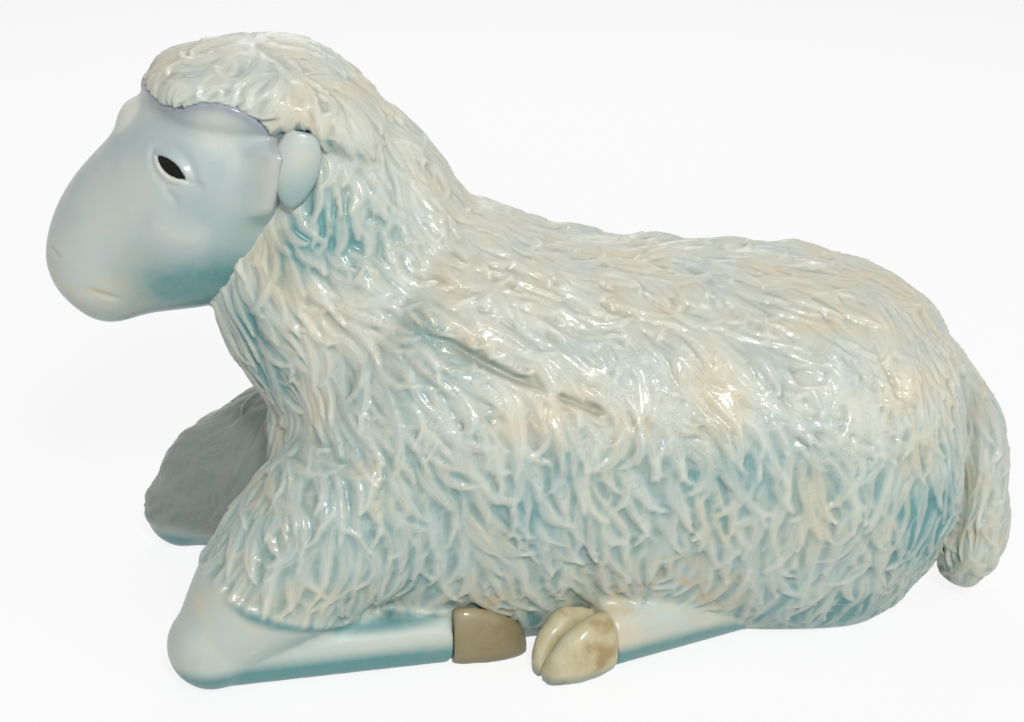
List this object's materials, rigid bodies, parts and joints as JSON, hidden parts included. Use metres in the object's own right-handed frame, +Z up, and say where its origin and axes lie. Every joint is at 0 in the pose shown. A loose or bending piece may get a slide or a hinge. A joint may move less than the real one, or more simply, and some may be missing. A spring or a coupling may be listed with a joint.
{
  "type": "lying sheep figurine",
  "caption": "Painted, varnished figurine of a sheep lying with folded legs and raised head, thick locks of wool, bare face and hooves, flat felt-covered base.",
  "frame": {"origin": "middle of the felt under the base, at the height of what the figurine stands on", "axes": "+X from the head towards the tail, +Z up, the animal's left side faces -Y"},
  "size_m": [0.4013, 0.1692, 0.2435],
  "materials": {
    "fleece_ivory": "hand-painted ivory with teal-grey shading, clear varnish",
    "face_ivory": "hand-painted cream grey, clear varnish",
    "leg_ivory": "hand-painted ivory shading to teal, clear varnish",
    "hoof_ochre": "hand-painted ochre, clear varnish",
    "eye_black": "high gloss",
    "fastener_steel": "zinc plated",
    "dowel_wood": "bare",
    "seam_tape": "resin-soaked fibre tape",
    "base_plate": "matt",
    "block_wood": "bare",
    "ballast_stone": "rough cast",
    "base_felt": "felt"
  },
  "bodies": {
    "root": {"body_shell_left": "fleece_ivory", "body_shell_right": "fleece_ivory", "head": "face_ivory", "wool_cap": "fleece_ivory", "cap_dowels": "dowel_wood", "ear_left": "face_ivory", "ear_right": "face_ivory", "eye_left": "eye_black", "eye_right": "eye_black", "foreleg_left": "leg_ivory", "foreleg_right": "leg_ivory", "hoof_fore_left": "hoof_ochre", "hoof_fore_right": "hoof_ochre", "hind_foot_left": "leg_ivory", "hind_foot_right": "leg_ivory", "hoof_hind_left": "hoof_ochre", "hoof_hind_right": "hoof_ochre", "tail": "fleece_ivory", "casting_bolts": "fastener_steel", "casting_washers": "fastener_steel", "seam_tape": "seam_tape", "base_plate": "base_plate", "base_screws": "fastener_steel", "screw_blocks": "block_wood", "ballast_block": "ballast_stone", "felt_base": "base_felt"}
  },
  "joints": []
}
